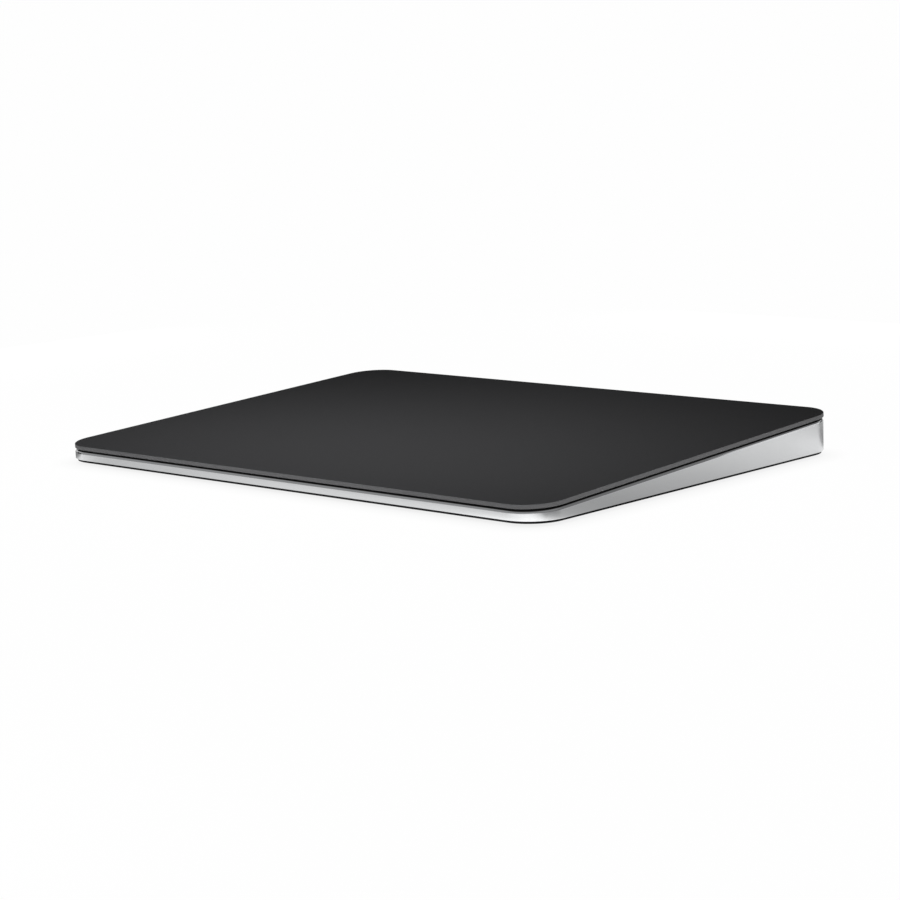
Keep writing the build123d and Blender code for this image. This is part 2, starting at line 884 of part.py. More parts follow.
ribbon_lift = 0.22
touch_ribbon_level = pad_level + ribbon_lift + ribbon_thickness / 2
touch_ribbon_start = side_point(touch_plug_y - touch_plug_width / 2, touch_ribbon_level)
save(ribbon(touch_socket_x, touch_ribbon_width, touch_ribbon_start), "touch_cable")

deck_bond = 0.02
coil_rear = haptic_y + core_width / 2 + coil_gap + coil_thickness
haptic_ribbon_start = side_point(coil_rear, deck_under_level + deck_bond + ribbon_thickness / 2)
save(ribbon(haptic_socket_x, haptic_ribbon_width, haptic_ribbon_start), "haptic_cable")

battery_ribbon_start = side_point(
    cell_rear + battery_board_depth,
    battery_board_level + battery_board_thickness / 2,
)
save(ribbon(battery_socket_x, battery_ribbon_width, battery_ribbon_start), "battery_lead")

# The gauge cable lies flat on the deck, joins the four gauges and has a tail to the board
gauge_run_inward = 9.5
gauge_run_width = 3.0
gauge_cross_inset = 3.9

gauge_run_x = plate_width / 2 - base_inset_x - gauge_run_inward
gauge_run_end = plate_depth / 2 - base_inset_y - arm_width / 2 - 2 * arm_pocket_margin
gauge_cross_y = gauge_run_end - gauge_cross_inset
gauge_tail_start = side_point(gauge_cross_y, deck_level - ribbon_thickness / 2)
gauge_tail = ribbon(gauge_socket_x, gauge_ribbon_width, gauge_tail_start)

with BuildPart() as gauge_cable:
    with BuildSketch(under_face(deck_level)):
        with GridLocations(2 * gauge_run_x, 0, 2, 1):
            Rectangle(gauge_run_width, 2 * gauge_run_end)
        with Locations((0, gauge_cross_y)):
            Rectangle(2 * gauge_run_x, gauge_run_width)
    extrude(amount=ribbon_thickness)
    add(gauge_tail.part)
save(gauge_cable, "gauge_cable")


# Charging port: shell, insulator with its tongue, and rows of contacts

tongue_width = 6.69
tongue_thickness = 0.7
tongue_recess = 0.6
insulator_depth = 1.4
contact_count = 12
contact_pitch = 0.5
contact_width = 0.25
contact_length = 3.4
contact_thickness = 0.05
contact_recess = 0.4

with BuildPart() as port_shell:
    with BuildSketch(rear_plane(port_mouth_y)):
        with Locations((port_x, port_z)):
            SlotOverall(port_width, port_height)
            SlotOverall(port_mouth_width, port_mouth_height, mode=Mode.SUBTRACT)
    extrude(amount=port_depth)
save(port_shell, "port_shell")

with BuildPart() as port_insulator:
    with BuildSketch(rear_plane(port_back_y + insulator_depth)):
        with Locations((port_x, port_z)):
            SlotOverall(port_mouth_width, port_mouth_height)
    extrude(amount=insulator_depth)
    with BuildSketch(rear_plane(port_mouth_y - tongue_recess)):
        with Locations((port_x, port_z)):
            Rectangle(tongue_width, tongue_thickness)
    extrude(amount=port_depth - tongue_recess - insulator_depth)
save(port_insulator, "port_insulator")

with BuildPart() as port_contacts:
    with BuildSketch(rear_plane(port_mouth_y - tongue_recess - contact_recess)):
        with Locations((port_x, port_z)):
            with GridLocations(
                contact_pitch, tongue_thickness + contact_thickness, contact_count, 2
            ):
                Rectangle(contact_width, contact_thickness)
    extrude(amount=contact_length)
save(port_contacts, "port_contacts")


# Power switch: a slider behind the rear wall drives the switch on the board. A green
# marker on the slider comes into view beside the knob when the switch is on.

cap_thickness = 0.6
cap_overlap = 0.45
cap_wall_gap = 0.15
marker_inset = 0.2
marker_thickness = 0.1
pin_width = 1.2
pin_height = 1.0
pin_engagement = 1.0
pin_gap = 0.2
switch_gap = 0.3
switch_body_length = 9.0
switch_body_depth = 2.6

cap_rear_y = rear_room_face - cap_wall_gap
cap_front_y = cap_rear_y - cap_thickness
cap_length = switch_slot_length + switch_travel + 2 * cap_overlap
cap_height = knob_height + 2 * cap_overlap
marker_height = cap_height - 2 * marker_inset
marker_x = knob_x - knob_length / 2 - knob_gap - switch_travel / 2
switch_body_rear = cap_front_y - switch_gap

with BuildPart() as switch_slider:
    with BuildSketch(rear_plane(cap_rear_y)):
        with Locations((knob_x, switch_z)):
            Rectangle(cap_length, cap_height)
    extrude(amount=cap_thickness)
    with BuildSketch(rear_plane(rear_face - knob_recess)):
        with Locations((knob_x, switch_z)):
            SlotOverall(knob_length, knob_height)
    extrude(amount=rear_face - knob_recess - cap_rear_y)
    with BuildSketch(rear_plane(cap_rear_y)):
        with Locations((marker_x, switch_z)):
            Rectangle(switch_travel, marker_height)
    extrude(amount=marker_thickness, mode=Mode.SUBTRACT)
    with BuildSketch(rear_plane(cap_front_y)):
        with Locations((knob_x, switch_z)):
            Rectangle(pin_width, pin_height)
    extrude(amount=switch_gap + pin_engagement)
save(switch_slider, "switch_slider")

with BuildPart() as switch_marker:
    with BuildSketch(rear_plane(cap_rear_y)):
        with Locations((marker_x, switch_z)):
            Rectangle(switch_travel, marker_height)
    extrude(amount=marker_thickness)
save(switch_marker, "switch_marker")

with BuildPart() as switch_body:
    with BuildSketch(Plane.XY.offset(board_top)):
        with Locations((switch_x, switch_body_rear - switch_body_depth / 2)):
            Rectangle(switch_body_length, switch_body_depth)
    extrude(amount=2 * (switch_z - board_top))
    with BuildSketch(rear_plane(switch_body_rear)):
        with Locations((switch_x, switch_z)):
            Rectangle(pin_width + switch_travel + 2 * pin_gap, pin_height + 2 * pin_gap)
    extrude(amount=pin_engagement + pin_gap, mode=Mode.SUBTRACT)
save(switch_body, "switch_body")
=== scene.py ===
# %% [markdown]
# This scene dresses a wireless wedge trackpad: a sheet of black etched glass that floats on
# leaf springs over a shallow aluminium housing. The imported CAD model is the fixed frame, in
# metres, with +X to the user's right, +Y to the rear edge and +Z up. Every visible piece is
# built here or finished here, and everything is measured from that frame.

# %% Load the frame
import json
from math import atan2, cos, degrees, pi, radians, sin

import bmesh
import bpy
from mathutils import Matrix, Vector


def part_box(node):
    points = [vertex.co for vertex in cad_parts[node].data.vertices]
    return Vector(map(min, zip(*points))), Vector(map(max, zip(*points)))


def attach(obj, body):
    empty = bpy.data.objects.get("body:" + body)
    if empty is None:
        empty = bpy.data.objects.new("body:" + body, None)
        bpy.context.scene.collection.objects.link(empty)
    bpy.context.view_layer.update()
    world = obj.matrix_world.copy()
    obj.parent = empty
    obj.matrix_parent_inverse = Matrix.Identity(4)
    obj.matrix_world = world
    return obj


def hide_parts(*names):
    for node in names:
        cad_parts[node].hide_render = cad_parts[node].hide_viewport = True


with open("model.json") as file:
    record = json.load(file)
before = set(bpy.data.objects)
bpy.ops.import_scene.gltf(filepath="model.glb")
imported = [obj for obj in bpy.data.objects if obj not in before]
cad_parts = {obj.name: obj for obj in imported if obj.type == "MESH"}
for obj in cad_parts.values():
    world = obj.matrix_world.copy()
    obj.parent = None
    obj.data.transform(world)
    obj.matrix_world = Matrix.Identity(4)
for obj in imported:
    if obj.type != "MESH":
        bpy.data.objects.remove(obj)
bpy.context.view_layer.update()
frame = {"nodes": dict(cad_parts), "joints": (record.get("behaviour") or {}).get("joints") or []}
nodes = frame["nodes"]
mm = 0.001

# %% [markdown]
# The touch face leans towards the user, and the plate moves square to it. The press joint's
# axis is therefore the face's normal, and the glass mesh gives its levels and its size. All
# the tilted pieces below use this one frame, so nothing has to be fitted by eye.

# %% The tilted frame of the touch face
press_axis = next(Vector(j["axis"]) for j in frame["joints"] if j["name"] == "press_travel")
tilt = atan2(-press_axis.y, press_axis.z)
glass_levels = [v.co.dot(press_axis) for v in nodes["touch_glass"].data.vertices]
face_level = max(glass_levels)
glass_thickness = face_level - min(glass_levels)
glass_low, glass_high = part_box("touch_glass")
width = glass_high.x - glass_low.x
face_centre = Vector((0, 0, face_level / press_axis.z))
to_face = Matrix.Translation(face_centre) @ Matrix.Rotation(tilt, 4, "X")
print(f"width {width / mm:.2f} mm, tilt {degrees(tilt):.3f} degrees")
print(f"glass {glass_thickness / mm:.2f} mm, face middle {face_centre.z / mm:.2f} mm high")

# %% [markdown]
# The camera stands where the photograph's did: low over the desk, off the front right
# corner, and a little rolled. Its angles, distance and focal length were solved from the
# plate's corners and edges in the photograph, so they are written here as a real camera's
# would be. Its lens and sensor width are in real millimetres, as Blender has them.

# %% Camera
camera_azimuth = radians(42.58)
camera_elevation = radians(9.43)
camera_roll = radians(-1.857)
camera_distance = 595.325 * mm
camera_aim = (1.982 * mm, 1.338 * mm)
camera_lens = 94.483
camera_sensor = 36
nearest_shown = 10 * mm
foot_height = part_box("bottom_cover")[0].z

back = Vector(
    (
        sin(camera_azimuth) * cos(camera_elevation),
        -cos(camera_azimuth) * cos(camera_elevation),
        sin(camera_elevation),
    )
)
level_right = Vector((cos(camera_azimuth), sin(camera_azimuth), 0))
level_up = back.cross(level_right)
right = level_right * cos(camera_roll) + level_up * sin(camera_roll)
up = level_up * cos(camera_roll) - level_right * sin(camera_roll)

camera_data = bpy.data.cameras.new("camera")
camera_data.lens = camera_lens
camera_data.sensor_width = camera_sensor
camera_data.clip_start = nearest_shown
camera = bpy.data.objects.new("camera", camera_data)
bpy.context.scene.collection.objects.link(camera)
facing = Matrix((right, up, back)).transposed().to_4x4()
stand = right * camera_aim[0] + up * camera_aim[1] + back * camera_distance
camera.matrix_world = Matrix.Translation(stand + Vector((0, 0, foot_height))) @ facing
bpy.context.scene.camera = camera
print("camera at, in mm:", [round(c / mm, 1) for c in camera.matrix_world.translation])

# %% [markdown]
# Materials are node trees. One helper adds a node with its settings and its links, another
# turns a colour picked on a screen into the linear light that the shader works in, and a
# third starts a material with its Principled shader. A surface looks real where the same
# marks change its tone, its gloss and its relief together, so the last helper lets any
# pattern do that. Each finish below is then only its pattern and its sizes.


# %% Material helpers
def linear(hex_colour):
    """A screen colour, such as "3a3a3b", as linear RGBA."""
    shares = [int(hex_colour[i : i + 2], 16) / 255 for i in (0, 2, 4)]
    return (*[s / 12.92 if s <= 0.04045 else ((s + 0.055) / 1.055) ** 2.4 for s in shares], 1)


def add_node(tree, kind, settings=None, **links):
    """Adds a node. Settings are its own properties or its inputs' values, links its inputs."""
    node = tree.nodes.new(kind)
    for name, value in (settings or {}).items():
        if name in node.inputs:
            node.inputs[name].default_value = value
        else:
            setattr(node, name, value)
    for name, source in links.items():
        tree.links.new(source, node.inputs[name.replace("_", " ")])
    return node


def new_finish(name, **sockets):
    """A material with one Principled shader and the object's own coordinates."""
    material = bpy.data.materials.new(name)
    material.use_nodes = True
    tree = material.node_tree
    shader = tree.nodes["Principled BSDF"]
    for socket, value in sockets.items():
        shader.inputs[socket.replace("_", " ")].default_value = value
    place = add_node(tree, "ShaderNodeTexCoord").outputs["Object"]
    return material, tree, shader, place


def show_marks(tree, shader, marks, tones=None, rough=None, relief=None, span=(0.35, 0.65)):
    """Lets marks change a surface's tone, roughness and relief.

    Tones and rough are pairs, one for low marks and one for high marks, and span says where
    the pattern counts as low and as high. Relief is a depth in metres and a strength.
    """
    if tones:
        ramp = add_node(tree, "ShaderNodeValToRGB", Fac=marks)
        for stop, position, tone in zip(ramp.color_ramp.elements, span, tones):
            stop.position = position
            stop.color = linear(tone)
        tree.links.new(ramp.outputs["Color"], shader.inputs["Base Color"])
    if rough:
        limits = dict(zip(("From Min", "From Max", "To Min", "To Max"), (*span, *rough)))
        gloss = add_node(tree, "ShaderNodeMapRange", limits, Value=marks)
        tree.links.new(gloss.outputs["Result"], shader.inputs["Roughness"])
    if relief:
        heights = dict(zip(("Distance", "Strength"), relief))
        raised = add_node(tree, "ShaderNodeBump", heights, Height=marks)
        tree.links.new(raised.outputs["Normal"], shader.inputs["Normal"])


# %% [markdown]
# The touch face is aluminosilicate glass, printed black on its underside and etched on top so
# that a finger slides. The etched pits break up the mirror image so well that the face stays
# an even, very dark grey down to a low angle. A shader's gloss would turn pale there, so the
# specular level is zero and the base colour alone gives the grey. The real pits are a few
# hundredths of a millimetre across, too fine to show, so they are drawn four times as coarse.
# Slow clouds vary the roughness, as an acid bath does.

# %% Etched black glass
etch_pit = 0.12 * mm
etch_depth = 0.002 * mm
etch_strength = 0.25
acid_cloud = 35 * mm
etched_glass, tree, shader, place = new_finish(
    "etched_black_glass", IOR=1.5, Specular_IOR_Level=0.0
)
pits = add_node(tree, "ShaderNodeTexNoise", {"Scale": 1 / etch_pit, "Detail": 3.0}, Vector=place)
clouds = add_node(
    tree, "ShaderNodeTexNoise", {"Scale": 1 / acid_cloud, "Detail": 2.0}, Vector=place
)
show_marks(
    tree,
    shader,
    pits.outputs["Fac"],
    tones=("383839", "3f3f40"),
    relief=(etch_depth, etch_strength),
)
show_marks(tree, shader, clouds.outputs["Fac"], rough=(0.58, 0.66))
print(f"{etched_glass.name}: pits drawn {etch_pit / mm:.2f} mm across")

# %% [markdown]
# The edge of the glass is ground to size and only half polished. Its marks scatter more light
# than the etched face does, so the edge reads as a paler line round the black. It could be a
# mask within one material, but the edge's faces are known when the glass is made, so a second
# material is simpler and stays sharp.

# %% Ground glass edge
grinding_mark = 0.1 * mm
grinding_depth = 0.002 * mm
grinding_strength = 0.3
ground_glass, tree, shader, place = new_finish(
    "ground_black_glass_edge", IOR=1.5, Specular_IOR_Level=0.1
)
marks = add_node(
    tree, "ShaderNodeTexNoise", {"Scale": 1 / grinding_mark, "Detail": 2.0}, Vector=place
)
show_marks(
    tree,
    shader,
    marks.outputs["Fac"],
    tones=("4d4d4e", "575758"),
    rough=(0.5, 0.6),
    relief=(grinding_depth, grinding_strength),
)
print(f"{ground_glass.name}: marks drawn {grinding_mark / mm:.2f} mm across")

# %% [markdown]
# The housing is milled from aluminium, blasted with fine glass beads and then anodised clear.
# The beads leave overlapping dimples about 0.1 mm across, which turn a mirror into satin, and
# the oxide keeps the silver colour. A noise at the size of the dimples tilts the normal, and
# a slower one varies the roughness a little, as blasting does.

# %% Bead-blasted anodised aluminium
bead_dimple = 0.14 * mm
dimple_depth = 0.003 * mm
dimple_strength = 0.3
blasted_patch = 9 * mm
anodised_aluminium, tree, shader, place = new_finish("bead_blasted_aluminium", Metallic=1.0)
dimples = add_node(
    tree, "ShaderNodeTexNoise", {"Scale": 1 / bead_dimple, "Detail": 2.0}, Vector=place
)
patches = add_node(
    tree, "ShaderNodeTexNoise", {"Scale": 1 / blasted_patch, "Detail": 2.0}, Vector=place
)
show_marks(
    tree,
    shader,
    dimples.outputs["Fac"],
    tones=("d2d3d4", "dcddde"),
    relief=(dimple_depth, dimple_strength),
)
show_marks(tree, shader, patches.outputs["Fac"], rough=(0.29, 0.33))
print(f"{anodised_aluminium.name}: dimples {bead_dimple / mm:.2f} mm across")

# %% [markdown]
# After anodising, a diamond tool cuts the chamfer along the rim. The cut is bare metal, close
# to a mirror, with lines too fine to see. It leans towards the ceiling and shows what hangs
# there, so it needs a low roughness and lines drawn just coarse enough to break it up. Bare
# aluminium is paler than the blasted wall, but its base colour here is a darker grey, which is
# painted shade under the overhanging glass.

# %% Diamond-cut chamfer
tool_mark = 0.03 * mm
cut_aluminium_painted_shade, tree, shader, place = new_finish("diamond_cut_aluminium", Metallic=1.0)
cuts = add_node(tree, "ShaderNodeTexNoise", {"Scale": 1 / tool_mark, "Detail": 1.0}, Vector=place)
# These greys are darker than the blasted wall's: painted shade under the overhanging glass.
show_marks(tree, shader, cuts.outputs["Fac"], tones=("b4b5b7", "bdbec0"), rough=(0.1, 0.14))
print(f"{cut_aluminium_painted_shade.name}: tool marks {tool_mark / mm:.2f} mm across")

# %% [markdown]
# The remaining finishes share a few recipes. Moulded plastic has a spark-eroded texture and a
# soft gloss, and rubber is the same with a coarser, duller skin. Its gloss also drifts slowly
# over the piece, where the mould is worn. Small metal parts are stamped from rolled sheet,
# which keeps fine lines along the way it was rolled. Each recipe is a function that takes its
# colours and its sizes, so that a finish is one line below.


# %% Recipes for moulded and rolled surfaces
def moulded(name, dark, light, rough, texture=0.15 * mm, depth=0.004 * mm, **sockets):
    """Plastic or rubber from a textured mould."""
    worn_patch = 60 * texture
    drift = 0.04
    strength = 0.4
    material, tree, shader, place = new_finish(name, **sockets)
    marks = add_node(
        tree, "ShaderNodeTexNoise", {"Scale": 1 / texture, "Detail": 3.0}, Vector=place
    )
    wear = add_node(
        tree, "ShaderNodeTexNoise", {"Scale": 1 / worn_patch, "Detail": 2.0}, Vector=place
    )
    show_marks(tree, shader, marks.outputs["Fac"], tones=(dark, light), relief=(depth, strength))
    show_marks(tree, shader, wear.outputs["Fac"], rough=(rough - drift, rough + drift))
    return material


def rolled(name, dark, light, rough, line=0.08 * mm):
    """Sheet metal with rolling lines along X, twelve times as long as they are wide."""
    squeeze = (1, 12, 12)
    line_length = 10 * line
    line_depth = 0.001 * mm
    drift = 0.05
    strength = 0.3
    material, tree, shader, place = new_finish(name, Metallic=1.0)
    drawn_out = add_node(tree, "ShaderNodeMapping", {"Scale": squeeze}, Vector=place)
    lines = add_node(
        tree,
        "ShaderNodeTexNoise",
        {"Scale": 1 / line_length, "Detail": 3.0},
        Vector=drawn_out.outputs["Vector"],
    )
    show_marks(
        tree,
        shader,
        lines.outputs["Fac"],
        tones=(dark, light),
        rough=(rough - drift, rough + drift),
        relief=(line_depth, strength),
    )
    return material


# %% [markdown]
# Some parts show lines at an even pitch: copper tracks under a board's lacquer or in a
# ribbon, and the turns of a coil. A wave texture draws them, and its scale comes from the
# real pitch, because at a scale of 1 its bands repeat every 2 pi / 20. On a board the tracks
# run in patches, some along X and some along Y, so a Voronoi pattern of square cells picks
# the direction, and a narrow range turns its random cells into one or the other.


# %% Recipes for boards, ribbons and coils
wave_pitch = 2 * pi / 20


def circuit_board(name, mask, track):
    """Glossy lacquer over copper tracks, which show as paler raised lines."""
    pitch = 0.6 * mm
    patch = 5 * mm
    track_height = 0.02 * mm
    strength = 0.6
    one_or_other = {"From Min": 0.499, "From Max": 0.501}
    flat_topped = {"From Min": 0.6, "From Max": 0.75}
    material, tree, shader, place = new_finish(name, Coat_Weight=0.2, Coat_Roughness=0.2)
    squares = {"distance": "CHEBYCHEV", "Scale": 1 / patch}
    cells = add_node(tree, "ShaderNodeTexVoronoi", squares, Vector=place)
    turned = add_node(tree, "ShaderNodeMapRange", one_or_other, Value=cells.outputs["Color"])
    waves = [
        add_node(
            tree,
            "ShaderNodeTexWave",
            {"bands_direction": direction, "Scale": wave_pitch / pitch},
            Vector=place,
        ).outputs["Fac"]
        for direction in "XY"
    ]
    tracks = add_node(
        tree, "ShaderNodeMix", Factor=turned.outputs["Result"], A=waves[0], B=waves[1]
    )
    raised = add_node(tree, "ShaderNodeMapRange", flat_topped, Value=tracks.outputs["Result"])
    show_marks(
        tree,
        shader,
        raised.outputs["Result"],
        tones=(mask, track),
        rough=(0.42, 0.34),
        relief=(track_height, strength),
        span=(0.0, 1.0),
    )
    return material


def wound(name, dark, light, pitch, direction, rough, metallic):
    """Round wires or tracks side by side. On wires, pale crests are painted highlight, dark gaps
    painted shade.
    """
    wire_height = pitch / 2
    handled_patch = 4 * pitch
    drift = 0.05
    strength = 0.5
    material, tree, shader, place = new_finish(name, Metallic=metallic)
    bands = {"bands_direction": direction, "Scale": wave_pitch / pitch}
    wires = add_node(tree, "ShaderNodeTexWave", bands, Vector=place)
    handling = add_node(
        tree, "ShaderNodeTexNoise", {"Scale": 1 / handled_patch, "Detail": 2.0}, Vector=place
    )
    show_marks(
        tree,
        shader,
        wires.outputs["Fac"],
        tones=(dark, light),
        relief=(wire_height, strength),
        span=(0.0, 0.8),
    )
    show_marks(tree, shader, handling.outputs["Fac"], rough=(rough - drift, rough + drift))
    return material


# %% [markdown]
# Foam tape is a mass of small closed bubbles. A Voronoi pattern at their size makes each one
# swell. Its tone is pale on the swell, a painted highlight, and dark in the crease round it,
# painted shade. The pouch of a battery cell is aluminium foil in plastic film. It is pressed
# over the cell and keeps shallow dents and creases, which a slow noise with a sharp fold in it
# draws.


# %% Recipes for foam and foil
def foamed(name, dark, light, bubble):
    """Closed-cell foam. The pattern is the distance from a bubble's middle, its highest point, and
    its pale middle and dark rim are painted highlight and painted shade.
    """
    crease_depth = 0.3 * bubble
    strength = 0.8
    material, tree, shader, place = new_finish(name, Specular_IOR_Level=0.15)
    bubbles = add_node(tree, "ShaderNodeTexVoronoi", {"Scale": 1 / bubble}, Vector=place)
    show_marks(
        tree,
        shader,
        bubbles.outputs["Distance"],
        tones=(light, dark),
        rough=(0.85, 0.95),
        relief=(-crease_depth, strength),
        span=(0.2, 0.8),
    )
    return material


def laminated(name, dark, light, dent):
    """Foil pressed over a soft core."""
    crease_depth = 0.05 * mm
    strength = 0.5
    rubbed_patch = dent / 8
    material, tree, shader, place = new_finish(name, Metallic=0.6)
    sharp_folds = {"noise_type": "RIDGED_MULTIFRACTAL", "Scale": 1 / dent, "Detail": 3.0}
    folds = add_node(tree, "ShaderNodeTexNoise", sharp_folds, Vector=place)
    rubbing = add_node(
        tree, "ShaderNodeTexNoise", {"Scale": 1 / rubbed_patch, "Detail": 2.0}, Vector=place
    )
    show_marks(tree, shader, rubbing.outputs["Fac"], tones=(dark, light), rough=(0.3, 0.4))
    show_marks(tree, shader, folds.outputs["Fac"], relief=(crease_depth, strength))
    return material


# %% [markdown]
# Every finish in the record's table gets its material here, and each CAD solid then takes
# the one that its slot names. Most of these parts are inside the housing. They are finished
# all the same, because the part comes apart.

# %% Finishes by the record's slots
finishes = {
    "glass_black": etched_glass,
    "anodised_aluminium": anodised_aluminium,
    # Spark-eroded polycarbonate: matt, with no colour of its own in its faint gloss.
    "cover_black": moulded(
        "black_polycarbonate", "0b0b0c", "111112", rough=0.6, Specular_IOR_Level=0.08
    ),
    # Soft elastomer, nearly black: its own black, and painted shade of the gap under the glass.
    "gasket_black": moulded(
        "black_elastomer_and_painted_gap_shade", "060606", "0a0a0a", rough=0.8, texture=0.1 * mm, Specular_IOR_Level=0.1
    ),
    # Rubber picks up dust in its coarse skin, so it is greyer and duller than the cover.
    "foot_rubber": moulded(
        "black_foot_rubber", "161616", "222222", rough=0.75, texture=0.2 * mm, depth=0.01 * mm
    ),
    # Lacquer with aluminium flakes on ABS: as pale as the wall round it, but not a mirror.
    "slider_plastic": moulded(
        "silver_lacquered_abs", "b9babb", "c4c5c6", rough=0.35, texture=0.1 * mm
    ),
    # Acetal dyed all through: a clean green with a waxy gloss.
    "marker_green": moulded("green_dyed_acetal", "2fa84f", "3cbb5e", rough=0.45, texture=0.1 * mm),
    # Stainless steel keeps the fine lines of its drawing, in a slightly warm grey.
    "port_steel": rolled("deep_drawn_stainless_steel", "9d9c99", "b3b2af", rough=0.28),
    # Liquid crystal polymer flows into thin walls and leaves a smooth, dull black.
    "connector_black": moulded(
        "black_liquid_crystal_polymer", "151516", "1f1f20", rough=0.45, texture=0.1 * mm
    ),
    # Gold over rolled copper: deep yellow and nearly polished.
    "contact_gold": rolled("gold_plated_copper", "d8b25c", "ebc872", rough=0.22, line=0.02 * mm),
    # Epoxy full of silica powder: a very fine, even, dark grey grain.
    "chip_black": moulded(
        "black_epoxy_moulding", "1b1b1c", "262627", rough=0.55, texture=0.08 * mm
    ),
    # Acrylic adhesive takes the gloss of the liner that was peeled off it.
    "clear_adhesive": moulded(
        "clear_acrylic_adhesive", "c9c9c2", "d3d3cc", rough=0.25, texture=0.5 * mm
    ),
    # Lacquer lets the copper under it show as paler lines, in black and in green.
    "board_black": circuit_board("black_solder_mask", "0c0f0e", "1b211f"),
    "board_green": circuit_board("green_solder_mask", "0d3a21", "1f6a3d"),
    # Cold-rolled strip is bright, with lines along it.
    "spring_steel": rolled("rolled_spring_steel", "8f9091", "a6a7a8", rough=0.3),
    # Silicon iron has a thin insulating coat, which makes it darker and duller than steel.
    "iron": rolled("silicon_iron_sheet", "6d6c6a", "82817e", rough=0.45),
    # Enamelled wire: the pale crest of every turn is a painted highlight, the brown between is
    # painted shade.
    "copper_winding": wound(
        "enamelled_copper_wire", "7c3f1e", "d08550", 0.2 * mm, "Z", rough=0.3, metallic=1.0
    ),
    # Zinc plating is pale and a little blue.
    "screw_steel": rolled("zinc_plated_steel", "a4a6a8", "b9bbbd", rough=0.3, line=0.04 * mm),
    # Amber film over copper tracks, which show through it as paler ridges.
    "flex_amber": wound(
        "polyimide_over_copper", "8f5212", "bb7a2a", 0.5 * mm, "X", rough=0.35, metallic=0.0
    ),
    # Foam: the grey on each bubble's swell is a painted highlight, the black in the creases painted
    # shade.
    "foam_tape": foamed("black_foam_tape", "101010", "2a2a2a", bubble=0.25 * mm),
    # The pouch looks like pewter, because film lies over its foil.
    "cell_foil": laminated("aluminium_laminate_pouch", "8d8f92", "a1a3a6", dent=12 * mm),
    # Nickel silver is a little yellow beside steel.
    "shield_nickel": rolled("nickel_silver_sheet", "aaa89f", "bfbdb5", rough=0.32),
    # Sintered ceramic is chalky and slightly warm.
    "ceramic_white": moulded("sintered_ceramic", "d8d6cf", "e6e4de", rough=0.6, texture=0.1 * mm),
    # Light enters the gel and comes out beside where it went in, which softens its dark grey.
    "gel": moulded(
        "silicone_gel", "3a3d40", "484b4f", rough=0.3, texture=0.4 * mm, Subsurface_Weight=0.2
    ),
}
for node in nodes.values():
    for holder in node.material_slots:
        holder.material = finishes[holder.material.name]
print(len(finishes), "finishes on", len(nodes), "nodes")

# %% [markdown]
# Each new piece starts as one of bmesh's primitives and is shaped with operators. These
# helpers turn a finished bmesh into an object at the origin, with its place in its mesh, and
# finish it as a piece of the trackpad. The last ones make the one shape that the glass needs,
# a block with rounded upright corners.


# %% Mesh helpers
def make_object(name, mesh):
    """Turns a bmesh into an object at the origin."""
    data = bpy.data.meshes.new(name)
    mesh.to_mesh(data)
    mesh.free()
    made = bpy.data.objects.new(name, data)
    bpy.context.scene.collection.objects.link(made)
    return made


def make_piece(name, mesh, slot, body, *replaced, smooth_angle=35, second=None):
    """Makes a finished piece that rides on a body and stands for CAD nodes."""
    piece = make_object(name, mesh)
    piece.data.materials.append(finishes[slot])
    if second:
        piece.data.materials.append(second)
    piece.data.shade_smooth()
    piece.data.set_sharp_from_angle(angle=radians(smooth_angle))
    flat_faces_flat = piece.modifiers.new("flat_faces_flat", "WEIGHTED_NORMAL")
    flat_faces_flat.keep_sharp = True
    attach(piece, body)
    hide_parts(*replaced)
    print(name, len(piece.data.polygons), "faces")
    return piece


def round_edges(mesh, edges, radius, segments):
    """Rounds edges to a radius."""
    bmesh.ops.bevel(
        mesh,
        geom=edges,
        offset=radius,
        offset_type="OFFSET",
        segments=segments,
        profile=0.5,
        affect="EDGES",
        material=-1,
        clamp_overlap=False,
    )


def edges_at(mesh, height, slack=1e-7):
    """The edges whose ends both lie at one height."""
    return [e for e in mesh.edges if all(abs(v.co.z - height) < slack for v in e.verts)]


def rounded_block(size, corner, segments=24):
    """A block centred on the origin, with its four upright edges rounded."""
    mesh = bmesh.new()
    bmesh.ops.create_cube(mesh, size=1)
    bmesh.ops.scale(mesh, vec=size, verts=mesh.verts)
    upright = [e for e in mesh.edges if abs(e.verts[0].co.z - e.verts[1].co.z) > size[2] / 2]
    round_edges(mesh, upright, corner, segments)
    return mesh


# %% [markdown]
# The glass is cut to outline, its corners are ground round, and both of its edges are
# polished so that they don't chip or cut. A block with rounded upright edges is that
# blank, and two small bevels are the polishing. It is made flat, and then laid in the
# tilted frame of the touch face. Its two faces are etched, and all the rest is ground.

# %% Touch glass
glass_corner = 8.8 * mm
glass_top_round = 0.16 * mm
glass_bottom_round = 0.08 * mm
upright_share = 0.8
glass_depth = (glass_high.y - glass_low.y) / cos(tilt) - glass_thickness * sin(tilt) / cos(tilt)
mesh = rounded_block((width, glass_depth, glass_thickness), glass_corner)
round_edges(mesh, edges_at(mesh, glass_thickness / 2), glass_top_round, segments=4)
round_edges(mesh, edges_at(mesh, -glass_thickness / 2), glass_bottom_round, segments=3)
for face in mesh.faces:
    face.material_index = 0 if abs(face.normal.z) > upright_share else 1
bmesh.ops.translate(mesh, vec=(0, 0, -glass_thickness / 2), verts=mesh.verts)
bmesh.ops.transform(mesh, matrix=to_face, verts=mesh.verts)
make_piece(
    "touch_glass_plate", mesh, "glass_black", "touch_plate", "touch_glass", second=ground_glass
)
print("glass depth in mm:", round(glass_depth / mm, 2))

# %% [markdown]
# The housing is one milled piece with a deck, ribs, bosses and two openings, and its CAD
# solid already has all of them. A copy of that mesh is merged into one skin and its flat
# faces are dissolved. Then the rim's chamfer gets the diamond-cut finish by its normals: it
# leans outwards and faces up. Building the shell again would only risk the openings. The
# photograph shows the cut a little broader on the wall than the solid has it, so its lower
# edge slides down the upright wall, which keeps the wall flat and the outline as it is.

